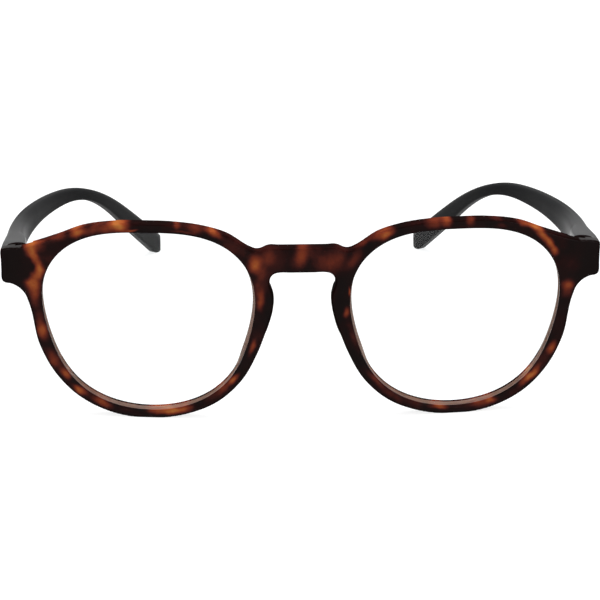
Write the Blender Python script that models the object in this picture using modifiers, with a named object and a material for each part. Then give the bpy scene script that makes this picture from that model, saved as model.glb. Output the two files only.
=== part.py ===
"""Round plastic eyeglass frame with built-in nose pads and folding temples.

The glasses stand on a table as when set down open: the front is upright and
faces -Y, the temples run back along +Y, and +Z is up. The rims and the temple
tips touch the table at z = 0. Every length is in metres.

Run with: blender --background --python part.py
"""
import math

import bmesh
import bpy
import numpy as np
from mathutils import Matrix, Vector

MM = 0.001

# Lenses and the front round them
LENS_WIDTH = 49.6 * MM
LENS_HEIGHT = 43.85 * MM
BRIDGE_WIDTH = 22.0 * MM
LENS_SHAPE_SHARES = (0.036, 0.043, -0.030)
FRONT_DEPTH = 3.6 * MM
WRAP_RADIUS = 350.0 * MM
EDGE_ROUND = 0.4 * MM
REST_FLAT = 0.12 * MM
RIM_WIDTH = 2.15 * MM
NASAL_RIM_SHARES = ((174, 1.56), (186, 1.37), (200, 1.29), (216, 1.26), (234, 1.17))
LOWER_RIM_SHARES = ((252, 1.04), (270, 1.0), (290, 1.05), (310, 1.14), (328, 1.32), (344, 1.5))
UPPER_RIM_SHARES = ((46, 1.46), (58, 1.13), (74, 1.0), (90, 0.98), (104, 0.98), (118, 1.07), (129, 1.26))

# Bridge bar between the rims, its top given as a share of half the lens height
BRIDGE_BAR_HEIGHT = 6.05 * MM
BRIDGE_TOP_WIDTH = 16.0 * MM
BRIDGE_TOP_SHARE = 0.83
NOTCH_DEPTH = 0.85 * MM
NOTCH_WIDTH = 4.6 * MM
NOTCH_SHARES = ((0.88, 0.25), (0.5, 1.0), (0.22, 0.5))
NOSE_GAP = 15.2 * MM
NOSE_CORNER = 2.1 * MM

# End pieces that carry the hinges
END_REACH = 6.175 * MM
END_HEIGHT = 7.5 * MM
END_TOP_SHARE = 0.732
END_CORNER = 0.9 * MM
END_FILLET = 5.4 * MM

# Nose pads moulded behind the rims
PAD_THICKNESS = 3.2 * MM
PAD_DEPTH = 8.4 * MM
PAD_HEIGHT = 15.0 * MM
PAD_SPLAY = math.radians(20)
PAD_SLANT = math.radians(11)
PAD_REACH = 1.7 * MM
PAD_RISE = 1.5 * MM
PAD_SET_BACK = 3.2 * MM

# Lens edge and the groove that holds it
LENS_BITE = 0.6 * MM
LENS_EDGE = 1.3 * MM
LENS_DOME = 1.3 * MM
LENS_RING_SHARES = (0, 0.45, 0.82)
FIT_GAP = 0.3 * MM

# Hinge of three moulded knuckles round an upright screw
HINGE_INSET = 3.7 * MM
HINGE_BACK = 3.7 * MM
SEAM_BACK = 2.8 * MM
RELIEF_BACK = 1.7 * MM
RELIEF_WALL = 0.8 * MM
KNUCKLE_RADIUS = 2.3 * MM
HINGE_GAP = 0.2 * MM
SCREW_RADIUS = 0.6 * MM
SCREW_HEAD_RADIUS = 1.0 * MM
SCREW_HEAD_HEIGHT = 0.6 * MM
SCREW_SLOT = 0.3 * MM
INSERT_RADIUS = 1.25 * MM
INSERT_LIP = 0.5 * MM

# Temples, whose tables run from the hinge at 0 to the tip at 1
TEMPLE_LENGTH = 140.0 * MM
TEMPLE_THICKNESS = 5.3 * MM
TEMPLE_SLOPE = math.radians(5.6)
HEADING_SHARES = ((0, -8), (0.25, -0.5), (0.5, 12), (0.72, 30.5), (0.84, 34.5), (1, 35.5))
THICKNESS_SHARES = ((0, 1), (0.06, 0.96), (0.18, 0.73), (0.42, 0.62), (1, 0.6))
HEIGHT_SHARES = ((0, 1), (0.07, 0.99), (0.25, 0.84), (0.5, 0.62), (0.72, 0.42), (0.9, 0.7), (1, 0.74))
EAR_BEND_SHARES = (0.57, 0.86)
EAR_DROP_LIMIT = math.radians(80)
TIP_ROUND = 3.0 * MM
TIP_TURN = math.radians(82)
TIP_THICKNESS_SHARE = 0.3
SECTION_SQUARENESS = 5

# Fineness of the mesh
OUTLINE_STEP = 2.4 * MM
LENS_POINTS = 56
ROUND_POINTS = 24
PAD_RINGS = 10
TEMPLE_STATIONS = 34
TIP_STATIONS = 4
SECTION_POINTS = 16
RING_STEP = math.radians(0.5)
SHARP_ANGLE = math.radians(35)
OVERRUN = 4.0 * MM
WELD = 0.01 * MM

# Places worked out from the sizes above
CENTRE_X = (LENS_WIDTH + BRIDGE_WIDTH) / 2
CENTRE_Z = RIM_WIDTH + LENS_HEIGHT / 2 - REST_FLAT
LENS_TEMPORAL = CENTRE_X + LENS_WIDTH / 2
TEMPORAL_RIM = LENS_TEMPORAL + RIM_WIDTH * LOWER_RIM_SHARES[-1][1]
HALF_WIDTH = TEMPORAL_RIM + END_REACH
END_TOP = CENTRE_Z + END_TOP_SHARE * LENS_HEIGHT / 2
END_BOTTOM = END_TOP - END_HEIGHT
BRIDGE_TOP = CENTRE_Z + BRIDGE_TOP_SHARE * LENS_HEIGHT / 2
KNUCKLE_HEIGHT = (END_HEIGHT - 2 * HINGE_GAP) / 3
BORE_RADIUS = SCREW_RADIUS + HINGE_GAP
EDGE_SLOPE = math.atan2(LENS_EDGE / 2, LENS_BITE)
GROOVE_REACH = LENS_BITE + FIT_GAP / math.sin(EDGE_SLOPE)


def wrap(x):
    """How far back the front's face lies at distance x from the middle."""
    return x * x / (2 * WRAP_RADIUS)


HINGE_X = HALF_WIDTH - HINGE_INSET
HINGE_Y = wrap(HINGE_X) + HINGE_BACK
SEAM_Y = wrap(HINGE_X) + SEAM_BACK
RELIEF_Y = wrap(HINGE_X) + RELIEF_BACK


def smooth_table(table, places):
    """Read (place, value) pairs with a smooth curve through all of them."""
    knots, values = np.array(table, dtype=float).T
    slopes = np.gradient(values, knots)
    left = np.clip(np.searchsorted(knots, places) - 1, 0, len(knots) - 2)
    run = knots[left + 1] - knots[left]
    t = (places - knots[left]) / run
    start = (1 + 2 * t) * (1 - t) ** 2 * values[left] + t * (1 - t) ** 2 * run * slopes[left]
    end = t * t * (3 - 2 * t) * values[left + 1] - t * t * (1 - t) * run * slopes[left + 1]
    return start + end


def ease(low, high, value):
    """Rise smoothly from 0 at low to 1 at high."""
    t = np.clip((value - low) / (high - low), 0, 1)
    return t * t * (3 - 2 * t)


def unit_lens(angles):
    """Rounded shape of the lens before it takes its width and height."""
    egg, panto, square = LENS_SHAPE_SHARES
    reach = 1 + egg * np.sin(angles) + panto * np.sin(3 * angles) + square * np.cos(4 * angles)
    return np.stack([np.cos(angles) * reach, np.sin(angles) * reach], axis=1)


UNIT_RING = unit_lens(np.arange(0, 2 * math.pi, RING_STEP))
UNIT_LOW = UNIT_RING.min(axis=0)
UNIT_SPAN = UNIT_RING.max(axis=0) - UNIT_LOW


def lens_ring(angles):
    """Outline of the right lens opening as x and z, from its temple side upward."""
    size = np.array([LENS_WIDTH, LENS_HEIGHT])
    low = np.array([CENTRE_X, CENTRE_Z]) - size / 2
    return low + (unit_lens(angles) - UNIT_LOW) / UNIT_SPAN * size


def grown_ring(angles, grow):
    """The lens outline moved outward by grow, square to itself."""
    along = lens_ring(angles + RING_STEP) - lens_ring(angles - RING_STEP)
    outward = np.stack([along[:, 1], -along[:, 0]], axis=1)
    outward /= np.linalg.norm(outward, axis=1)[:, None]
    return lens_ring(angles) + np.reshape(grow, (-1, 1)) * outward


def rim_knots(shares):
    """Points on the outside of the rim, for pairs of degrees and width share."""
    degrees, width_shares = np.array(shares, dtype=float).T
    return grown_ring(np.radians(degrees), width_shares * RIM_WIDTH).tolist()


def arc_knots(centre, radius, start, end):
    """Four points along an arc between two angles in degrees."""
    turns = np.radians(np.linspace(start, end, 4))
    return [(centre[0] + radius * math.cos(turn), centre[1] + radius * math.sin(turn)) for turn in turns]


def end_piece_knots():
    """Points round the end piece: concave fillet under it, then its two outer corners."""
    low = END_BOTTOM + END_CORNER
    high = END_TOP - END_CORNER
    outer = HALF_WIDTH - END_CORNER
    knots = arc_knots((TEMPORAL_RIM + END_FILLET, END_BOTTOM - END_FILLET), END_FILLET, 170, 105)
    knots += arc_knots((outer, low), END_CORNER, -80, 0)
    knots += [(HALF_WIDTH, (2 * low + high) / 3), (HALF_WIDTH, (low + 2 * high) / 3)]
    return knots + arc_knots((outer, high), END_CORNER, 0, 80)


def bridge_top_knots():
    """Points from the small notch beside the rim to the middle of the bridge's top."""
    side = BRIDGE_TOP_WIDTH / 2
    knots = [(side + across * NOTCH_WIDTH, BRIDGE_TOP - down * NOTCH_DEPTH) for across, down in NOTCH_SHARES]
    return knots + [(side - NOTCH_WIDTH / 4, BRIDGE_TOP), (0, BRIDGE_TOP)]


def half_outline():
    """Right half of the front's outer outline, from under the bridge round to its top."""
    low = BRIDGE_TOP - BRIDGE_BAR_HEIGHT
    corner = (NOSE_GAP / 2 - NOSE_CORNER, low - NOSE_CORNER)
    knots = [(0, low), (corner[0] / 2, low)] + arc_knots(corner, NOSE_CORNER, 90, 0)
    knots += rim_knots(NASAL_RIM_SHARES + LOWER_RIM_SHARES)
    knots += end_piece_knots() + rim_knots(UPPER_RIM_SHARES) + bridge_top_knots()
    knots = np.array(knots)
    runs = np.linalg.norm(np.diff(knots, axis=0), axis=1)
    places = np.concatenate([[0], np.cumsum(runs)])
    stops = []
    for start, run in zip(places, runs):
        count = max(1, math.ceil(run / OUTLINE_STEP))
        stops.extend(start + run * np.arange(count) / count)
    stops = np.append(stops, places[-1])
    x = smooth_table(np.stack([places, knots[:, 0]], axis=1), stops)
    z = smooth_table(np.stack([places, knots[:, 1]], axis=1), stops)
    return np.stack([x, np.maximum(z, 0)], axis=1)


def front_loops():
    """Outer outline and the two lens openings, each as a closed loop of x and z."""
    half = half_outline()
    outer = np.concatenate([half, half[-2:0:-1] * [-1, 1]])
    opening = lens_ring(-2 * math.pi * (np.arange(LENS_POINTS) + 0.5) / LENS_POINTS)
    return [outer, opening, opening[::-1] * [-1, 1]]


def material(name, colour, roughness, metallic=0.0, transmission=0.0):
    """Principled material with the part's colour."""
    made = bpy.data.materials.new(name)
    made.use_nodes = True
    shader = made.node_tree.nodes["Principled BSDF"]
    shader.inputs["Base Color"].default_value = (*colour, 1)
    shader.inputs["Roughness"].default_value = roughness
    shader.inputs["Metallic"].default_value = metallic
    shader.inputs["Transmission Weight"].default_value = transmission
    made.diffuse_color = (*colour, 1)
    return made


def collection(name):
    """New collection linked to the scene."""
    made = bpy.data.collections.new(name)
    bpy.context.scene.collection.children.link(made)
    return made


def new_object(name, mesh, group):
    """Object for a mesh, in one of the collections."""
    made = bpy.data.objects.new(name, mesh)
    group.objects.link(made)
    return made


def mesh_from(bm, name, curved=False):
    """Turn a bmesh into a mesh with its faces pointing out; curved ones are split into flat triangles."""
    if curved:
        bmesh.ops.triangulate(bm, faces=bm.faces)
    bmesh.ops.recalc_face_normals(bm, faces=bm.faces)
    mesh = bpy.data.meshes.new(name)
    bm.to_mesh(mesh)
    bm.free()
    mesh.shade_smooth()
    mesh.set_sharp_from_angle(angle=SHARP_ANGLE)
    return mesh


def cutter(name, mesh):
    """Hidden tool for a Boolean."""
    tool = new_object(name, mesh, CUTTERS)
    tool.hide_render = True
    tool.display_type = "WIRE"
    return tool


def combine(target, tool, operation):
    """Add a Boolean with a tool to a part."""
    step = target.modifiers.new(tool.name, "BOOLEAN")
    step.operation = operation
    step.object = tool


def left_twin(part):
    """Mirror image of a finished right-hand part, with its origin mirrored too."""
    bpy.context.view_layer.update()
    graph = bpy.context.evaluated_depsgraph_get()
    mesh = bpy.data.meshes.new_from_object(part.evaluated_get(graph), depsgraph=graph)
    mesh.transform(Matrix.Scale(-1, 4, Vector((1, 0, 0))))
    mesh.flip_normals()
    twin = new_object(part.name.replace("right", "left"), mesh, PARTS)
    twin.location = part.location * Vector((-1, 1, 1))
    return twin


def turn_profile(part, profile):
    """Turn (radius, height) pairs about a part's own Z axis; they run down the outer side."""
    bm = bmesh.new()
    corners = [bm.verts.new((radius, 0, height)) for radius, height in profile]
    for near, far in zip(corners, corners[1:] + corners[:1]):
        if near.co.x > 0 or far.co.x > 0:
            bm.edges.new((near, far))
    bm.to_mesh(part.data)
    bm.free()
    turn = part.modifiers.new("turn", "SCREW")
    turn.steps = ROUND_POINTS
    turn.render_steps = ROUND_POINTS
    turn.use_merge_vertices = True
    turn.merge_threshold = WELD
    part.location = (HINGE_X, HINGE_Y, 0)
    return part


def barrel_mesh(low, high):
    """Full-height hinge barrel, its facets half a step round from those of its bore."""
    bm = bmesh.new()
    place = Matrix.Translation((HINGE_X, HINGE_Y, (low + high) / 2))
    turn = Matrix.Rotation(math.pi / ROUND_POINTS, 4, "Z")
    bmesh.ops.create_cone(bm, cap_ends=True, segments=ROUND_POINTS, radius1=KNUCKLE_RADIUS,
                          radius2=KNUCKLE_RADIUS, depth=high - low, matrix=place @ turn)
    return mesh_from(bm, "barrel")


def box_mesh(name, low, high):
    """Box between two opposite corners."""
    bm = bmesh.new()
    low, high = Vector(low), Vector(high)
    place = Matrix.Translation((low + high) / 2) @ Matrix.Diagonal((*(high - low), 1))
    bmesh.ops.create_cube(bm, size=1, matrix=place)
    return mesh_from(bm, name)


def front_blank():
    """Flat outline with rounded edges, thickened, stood upright and wrapped round the face."""
    curve = bpy.data.curves.new("front_outline", "CURVE")
    curve.dimensions = "2D"
    curve.fill_mode = "BOTH"
    curve.extrude = FRONT_DEPTH / 2 - EDGE_ROUND
    curve.bevel_depth = EDGE_ROUND
    curve.bevel_resolution = 1
    curve.offset = -EDGE_ROUND
    for loop in front_loops():
        spline = curve.splines.new("POLY")
        spline.points.add(len(loop) - 1)
        spline.use_cyclic_u = True
        for point, (x, z) in zip(spline.points, loop):
            point.co = (x, z, 0, 1)
    outline = new_object("front_outline", curve, CUTTERS)
    outline.rotation_euler.x = math.pi / 2
    outline.location.y = FRONT_DEPTH / 2
    bpy.context.view_layer.update()
    graph = bpy.context.evaluated_depsgraph_get()
    mesh = bpy.data.meshes.new_from_object(outline.evaluated_get(graph), depsgraph=graph)
    mesh.transform(outline.matrix_world)
    bpy.data.objects.remove(outline)
    bm = bmesh.new()
    bm.from_mesh(mesh)
    bmesh.ops.remove_doubles(bm, verts=bm.verts, dist=WELD)
    for vertex in bm.verts:
        vertex.co.y += wrap(vertex.co.x)
    return mesh_from(bm, "front", curved=True)


def lens_mesh(name, inner, half_edge, reach, dome):
    """Disc in the right opening: a ball flattened to the outline, with a V-shaped edge.

    The V starts at inner from the lens outline, half_edge to each side, and
    ends in a ridge at reach. The middle bulges forward by dome.
    """
    rings = len(LENS_RING_SHARES) + 1
    centre = np.array([CENTRE_X, CENTRE_Z])
    bm = bmesh.new()
    bmesh.ops.create_uvsphere(bm, u_segments=LENS_POINTS, v_segments=2 * rings, radius=1)
    for vertex in bm.verts:
        turn = np.array([math.atan2(vertex.co.y, vertex.co.x)])
        ring = round(2 * rings * math.acos(max(-1, min(1, vertex.co.z))) / math.pi)
        from_pole = min(ring, 2 * rings - ring)
        share = (LENS_RING_SHARES + (1, 1))[from_pole]
        edge = grown_ring(turn, reach if from_pole == rings else inner)[0]
        x, z = centre + share * (edge - centre)
        side = 0 if from_pole == rings else math.copysign(half_edge, -vertex.co.z)
        vertex.co = (x, wrap(x) + FRONT_DEPTH / 2 + side - dome * (1 - share * share), z)
    return mesh_from(bm, name, curved=True)


def nose_pad_mesh():
    """Long oval pad, slanted and splayed like the side of a nose."""
    bm = bmesh.new()
    place = Vector((BRIDGE_WIDTH / 2 - PAD_REACH, PAD_SET_BACK + FRONT_DEPTH / 2, CENTRE_Z + PAD_RISE))
    turn = Matrix.Rotation(-PAD_SLANT, 4, "Y") @ Matrix.Rotation(-PAD_SPLAY, 4, "Z")
    size = Matrix.Diagonal((PAD_THICKNESS, PAD_DEPTH, PAD_HEIGHT, 1))
    bmesh.ops.create_uvsphere(bm, u_segments=ROUND_POINTS, v_segments=PAD_RINGS, radius=0.5,
                              matrix=Matrix.Translation(place) @ turn @ size)
    return mesh_from(bm, "nose_pad")


def fixed_bore():
    """Everything cut round the axis in the front: insert pocket, tongue slot, bore and screw recess."""
    low = END_BOTTOM - OVERRUN
    slot_low = END_BOTTOM + KNUCKLE_HEIGHT
    slot_high = END_TOP - KNUCKLE_HEIGHT
    recess_low = END_TOP - SCREW_HEAD_HEIGHT - HINGE_GAP
    pocket = INSERT_RADIUS + HINGE_GAP
    slot = KNUCKLE_RADIUS + FIT_GAP
    recess = SCREW_HEAD_RADIUS + HINGE_GAP
    return turn_profile(cutter("bore", bpy.data.meshes.new("bore")), [
        (0, END_TOP + OVERRUN), (recess, END_TOP + OVERRUN), (recess, recess_low), (BORE_RADIUS, recess_low),
        (BORE_RADIUS, slot_high), (slot, slot_high), (slot, slot_low), (BORE_RADIUS, slot_low),
        (BORE_RADIUS, slot_low - INSERT_LIP), (pocket, slot_low - INSERT_LIP), (pocket, low), (0, low)])


def cut_hinge_seats(front):
    """Thin the end pieces behind, then add the knuckles and their bores."""
    low = END_BOTTOM - OVERRUN
    high = BRIDGE_TOP + OVERRUN
    back = SEAM_Y + FRONT_DEPTH + OVERRUN
    wall = LENS_TEMPORAL + GROOVE_REACH + RELIEF_WALL
    seam = box_mesh("seam", (HINGE_X, SEAM_Y, low), (HALF_WIDTH + OVERRUN, back, high))
    relief = box_mesh("relief", (wall, RELIEF_Y, low), (HINGE_X + HINGE_GAP, back, high))
    combine(front, cutter("seam", seam), "DIFFERENCE")
    combine(front, cutter("relief", relief), "DIFFERENCE")
    combine(front, cutter("barrel", barrel_mesh(END_BOTTOM, END_TOP)), "UNION")
    combine(front, fixed_bore(), "DIFFERENCE")


def make_front():
    """One moulding: rims, bridge, nose pads, end pieces and the fixed knuckles."""
    front = new_object("front", front_blank(), PARTS)
    half_edge = (GROOVE_REACH + LENS_BITE) * math.tan(EDGE_SLOPE)
    groove = lens_mesh("groove", -LENS_BITE, half_edge, GROOVE_REACH, 0)
    combine(front, cutter("nose_pad", nose_pad_mesh()), "UNION")
    combine(front, cutter("groove", groove), "DIFFERENCE")
    cut_hinge_seats(front)
    mirror = front.modifiers.new("mirror", "MIRROR")
    mirror.use_bisect_axis[0] = True
    mirror.merge_threshold = WELD
    front.data.materials.append(material("tortoise_plastic", (0.05, 0.018, 0.01), 0.45))
    return front


def temple_stations():
    """Distances along the temple at which its section is drawn, closer together at the tip."""
    shaft = np.linspace(0, TEMPLE_LENGTH - TIP_ROUND, TEMPLE_STATIONS)
    turns = np.linspace(0, TIP_TURN, TIP_STATIONS + 1)[1:]
    return np.concatenate([shaft, TEMPLE_LENGTH - TIP_ROUND + TIP_ROUND * np.sin(turns)])


def temple_points(ear_drop):
    """Sections of the right temple from the hinge to the tip, for one steepness of the ear bend."""
    along = temple_stations()
    share = along / TEMPLE_LENGTH
    heading = np.radians(smooth_table(HEADING_SHARES, share))
    slope = TEMPLE_SLOPE + (ear_drop - TEMPLE_SLOPE) * ease(*EAR_BEND_SHARES, share)
    step = np.diff(along, prepend=0)[:, None]
    level = np.cos(slope)
    way = np.stack([-np.sin(heading) * level, np.cos(heading) * level, -np.sin(slope)], axis=1)
    path = np.cumsum((way + np.roll(way, 1, axis=0)) / 2 * step, axis=0)
    lead = OVERRUN / 2
    first = np.array([HALF_WIDTH - TEMPLE_THICKNESS / 2 + lead * math.tan(heading[0]),
                      SEAM_Y - lead, (END_TOP + END_BOTTOM) / 2 + lead * math.tan(TEMPLE_SLOPE)])
    across = np.stack([np.cos(heading), np.sin(heading), np.zeros(len(share))], axis=1)
    up = np.cross(across, way)
    tip = np.clip((along - TEMPLE_LENGTH + TIP_ROUND) / TIP_ROUND, 0, 1)
    rounding = np.sqrt(1 - tip * tip)
    thinning = TIP_THICKNESS_SHARE + (1 - TIP_THICKNESS_SHARE) * rounding
    width = TEMPLE_THICKNESS / 2 * smooth_table(THICKNESS_SHARES, share) * thinning
    height = END_HEIGHT / 2 * smooth_table(HEIGHT_SHARES, share) * rounding
    turns = 2 * math.pi * (np.arange(SECTION_POINTS) + 0.5) / SECTION_POINTS
    wide = np.sign(np.cos(turns)) * np.abs(np.cos(turns)) ** (2 / SECTION_SQUARENESS)
    tall = np.sign(np.sin(turns)) * np.abs(np.sin(turns)) ** (2 / SECTION_SQUARENESS)
    sideways = across[:, None] * (width[:, None] * wide)[:, :, None]
    upward = up[:, None] * (height[:, None] * tall)[:, :, None]
    return (first + path)[:, None] + sideways + upward


def resting_temple_points():
    """Bend the ear piece until the tip stands on the table, flattened a little where it rests."""
    shallow, steep = TEMPLE_SLOPE, EAR_DROP_LIMIT
    for _ in range(40):
        middle = (shallow + steep) / 2
        if temple_points(middle)[..., 2].min() > -REST_FLAT:
            shallow = middle
        else:
            steep = middle
    points = temple_points(shallow)
    points[..., 2] = np.maximum(points[..., 2], 0)
    return points


def temple_blank():
    """Loft through the temple's sections, which change from a tall block to a thin bar and a paddle."""
    bm = bmesh.new()
    rows = [[bm.verts.new(point) for point in section] for section in resting_temple_points()]
    for near, far in zip(rows, rows[1:]):
        for k in range(SECTION_POINTS):
            after = (k + 1) % SECTION_POINTS
            bm.faces.new((near[k], near[after], far[after], far[k]))
    bm.faces.new(rows[0])
    bm.faces.new(rows[-1])
    return mesh_from(bm, "temple", curved=True)


def tongue_cut():
    """What the temple loses round the axis: clearance for the fixed knuckles, and its own bore."""
    low = END_BOTTOM - OVERRUN
    high = END_TOP + OVERRUN
    tongue_low = END_BOTTOM + KNUCKLE_HEIGHT + HINGE_GAP
    tongue_high = END_TOP - KNUCKLE_HEIGHT - HINGE_GAP
    clear = KNUCKLE_RADIUS + FIT_GAP
    return turn_profile(cutter("tongue", bpy.data.meshes.new("tongue")), [
        (0, high), (clear, high), (clear, tongue_high), (BORE_RADIUS, tongue_high),
        (BORE_RADIUS, tongue_low), (clear, tongue_low), (clear, low), (0, low)])


def make_temples():
    """The two temples, each cut for its hinge and with its origin on the hinge axis."""
    low = END_BOTTOM - OVERRUN
    high = END_TOP + OVERRUN
    ahead = (HALF_WIDTH - TEMPLE_THICKNESS - OVERRUN, SEAM_Y - FRONT_DEPTH - OVERRUN, low)
    end = box_mesh("temple_end", ahead, (HALF_WIDTH + OVERRUN, SEAM_Y + FIT_GAP, high))
    barrel = barrel_mesh(END_BOTTOM + HINGE_GAP, END_TOP - HINGE_GAP)
    temple = new_object("temple_right", temple_blank(), PARTS)
    combine(temple, cutter("temple_end", end), "DIFFERENCE")
    combine(temple, cutter("temple_barrel", barrel), "UNION")
    combine(temple, tongue_cut(), "DIFFERENCE")
    pivot = Vector((HINGE_X, HINGE_Y, (END_TOP + END_BOTTOM) / 2))
    temple.data.transform(Matrix.Translation(-pivot))
    temple.location = pivot
    temple.data.materials.append(material("temple_plastic", (0.03, 0.03, 0.032), 0.6))
    return [temple, left_twin(temple)]


def make_lenses():
    """Clear lenses, a ridge on each edge held in the rim's groove."""
    lens = new_object("lens_right", lens_mesh("lens", 0, LENS_EDGE / 2, LENS_BITE, LENS_DOME), PARTS)
    lens.data.materials.append(material("clear_lens", (0.9, 0.92, 0.93), 0.02, transmission=1.0))
    return [lens, left_twin(lens)]


def make_screws():
    """Slotted hinge screws: head in the top knuckle, shank down into the insert."""
    top = END_TOP - HINGE_GAP / 2
    under = top - SCREW_HEAD_HEIGHT
    foot = END_BOTTOM + HINGE_GAP
    point = SCREW_RADIUS / 2
    reach = SCREW_HEAD_RADIUS + OVERRUN
    slot = box_mesh("driver_slot", (HINGE_X - reach, HINGE_Y - SCREW_SLOT / 2, top - SCREW_SLOT),
                    (HINGE_X + reach, HINGE_Y + SCREW_SLOT / 2, top + SCREW_SLOT))
    screw = new_object("hinge_screw_right", bpy.data.meshes.new("hinge_screw"), PARTS)
    turn_profile(screw, [(0, top), (SCREW_HEAD_RADIUS, top), (SCREW_HEAD_RADIUS, under),
                         (SCREW_RADIUS, under), (SCREW_RADIUS, foot + point), (point, foot), (0, foot)])
    combine(screw, cutter("driver_slot", slot), "DIFFERENCE")
    screw.data.materials.append(material("screw_steel", (0.4, 0.4, 0.42), 0.3, metallic=1.0))
    return [screw, left_twin(screw)]


def make_inserts():
    """Brass rings in the lower knuckles that the screws thread into."""
    top = END_BOTTOM + KNUCKLE_HEIGHT - INSERT_LIP - HINGE_GAP
    insert = new_object("thread_insert_right", bpy.data.meshes.new("thread_insert"), PARTS)
    turn_profile(insert, [(INSERT_RADIUS, top), (INSERT_RADIUS, END_BOTTOM),
                          (BORE_RADIUS, END_BOTTOM), (BORE_RADIUS, top)])
    insert.data.materials.append(material("brass", (0.7, 0.5, 0.2), 0.35, metallic=1.0))
    return [insert, left_twin(insert)]


def centre_depth(parts):
    """Hang everything on one empty and move it so that y = 0 is halfway back."""
    depth = resting_temple_points()[..., 1].max()
    root = new_object("eyeglass_frame", None, PARTS)
    for part in parts + list(CUTTERS.objects):
        part.parent = root
    root.location.y = -depth / 2


for leftover in list(bpy.data.objects):
    bpy.data.objects.remove(leftover)
PARTS = collection("Eyeglass frame")
CUTTERS = collection("Cutters")
centre_depth([make_front()] + make_lenses() + make_temples() + make_screws() + make_inserts())
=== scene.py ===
# %% [markdown]
# # Round plastic glasses, dressed for the camera
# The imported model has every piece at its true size, drawn with few faces. This lesson
# loads it as a fixed frame and builds finer pieces in the same places: a tortoise front,
# clear lenses, black temples and slotted screws. Only the brass inserts, plain rings that
# hardly show, keep their own meshes.

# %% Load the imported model
import math

import bpy
import numpy as np
from mathutils import Matrix, Quaternion, Vector
from mathutils.kdtree import KDTree


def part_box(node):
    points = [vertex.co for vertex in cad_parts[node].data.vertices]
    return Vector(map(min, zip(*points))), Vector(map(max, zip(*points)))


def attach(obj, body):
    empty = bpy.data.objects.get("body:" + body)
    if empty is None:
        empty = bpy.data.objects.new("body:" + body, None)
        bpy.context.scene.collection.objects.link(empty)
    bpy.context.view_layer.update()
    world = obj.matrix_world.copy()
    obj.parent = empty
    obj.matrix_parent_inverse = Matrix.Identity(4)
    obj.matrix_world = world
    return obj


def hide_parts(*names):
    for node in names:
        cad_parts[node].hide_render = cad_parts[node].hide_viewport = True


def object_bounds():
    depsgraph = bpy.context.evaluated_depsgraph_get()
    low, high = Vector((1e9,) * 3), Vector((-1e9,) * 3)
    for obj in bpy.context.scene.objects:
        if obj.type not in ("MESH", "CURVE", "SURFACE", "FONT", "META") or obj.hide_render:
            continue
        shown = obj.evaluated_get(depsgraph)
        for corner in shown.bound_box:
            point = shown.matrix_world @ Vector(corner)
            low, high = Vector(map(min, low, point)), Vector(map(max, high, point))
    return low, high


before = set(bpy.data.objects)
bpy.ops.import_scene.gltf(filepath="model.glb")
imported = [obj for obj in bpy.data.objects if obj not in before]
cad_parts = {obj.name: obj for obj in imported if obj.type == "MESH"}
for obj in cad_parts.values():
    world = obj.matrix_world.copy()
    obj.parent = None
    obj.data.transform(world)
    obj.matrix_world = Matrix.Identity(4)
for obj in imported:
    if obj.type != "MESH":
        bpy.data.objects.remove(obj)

MM = 0.001
cad_box = [list(corner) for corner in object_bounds()]
print("CAD box in mm:", [[round(side / MM, 2) for side in corner] for corner in cad_box])

# %% [markdown]
# ## Camera
# The photograph looks down at the glasses a little, from half a metre away, through a
# long lens. The camera stands on an arc round the middle of the front, so that its height,
# turn and distance are plain numbers.

# %% Place the camera
CAMERA_TARGET = Vector((-0.627, -65.62, 29.70)) * MM
CAMERA_DISTANCE = 500 * MM
CAMERA_HEIGHT_ANGLE = math.radians(19.432)
CAMERA_TURN = math.radians(-1.916)
CAMERA_ROLL = math.radians(-0.161)
CAMERA_LENS_MM = 129.54
CAMERA_NEAR = 10 * MM


def new_object(name, add, **settings):
    """Add an object with one of Blender's own commands, and name it."""
    bpy.ops.object.select_all(action="DESELECT")
    add(**settings)
    bpy.context.object.name = name
    return bpy.context.object


level = math.cos(CAMERA_HEIGHT_ANGLE)
back = Vector((math.sin(CAMERA_TURN) * level, -math.cos(CAMERA_TURN) * level,
               math.sin(CAMERA_HEIGHT_ANGLE)))
turn = (-back).to_track_quat("-Z", "Y") @ Quaternion((0, 0, 1), CAMERA_ROLL)
camera = new_object("photo_camera", bpy.ops.object.camera_add,
                    location=CAMERA_TARGET + CAMERA_DISTANCE * back, rotation=turn.to_euler())
camera.data.lens = CAMERA_LENS_MM
camera.data.clip_start = CAMERA_NEAR
bpy.context.scene.camera = camera
bpy.context.scene.view_settings.view_transform = "Standard"
print("camera at", [round(place, 3) for place in camera.location])

# %% [markdown]
# ## Node helpers
# Materials are small machines made of nodes. These helpers keep the recipes readable: one
# adds a node with its settings and links, one does plain arithmetic, one starts a material,
# and one tells the rays that look at things from the rays that light them.

# %% Helpers for node trees
def add_node(tree, kind, inputs=None, **settings):
    """Add a shader node, set its properties, then its sockets by name or number."""
    node = tree.nodes.new("ShaderNode" + kind)
    for name, value in settings.items():
        setattr(node, name, value)
    for name, value in (inputs or {}).items():
        if isinstance(value, bpy.types.NodeSocket):
            tree.links.new(value, node.inputs[name])
        else:
            node.inputs[name].default_value = value
    return node


def calculate(tree, operation, first, second=0, third=0, clamp=False):
    """One arithmetic step on sockets or plain numbers."""
    node = add_node(tree, "Math", {0: first, 1: second, 2: third}, operation=operation, use_clamp=clamp)
    return node.outputs[0]


def new_material(name):
    """Empty material and its node tree."""
    made = bpy.data.materials.new(name)
    made.use_nodes = True
    made.node_tree.nodes.clear()
    return made, made.node_tree


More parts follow.
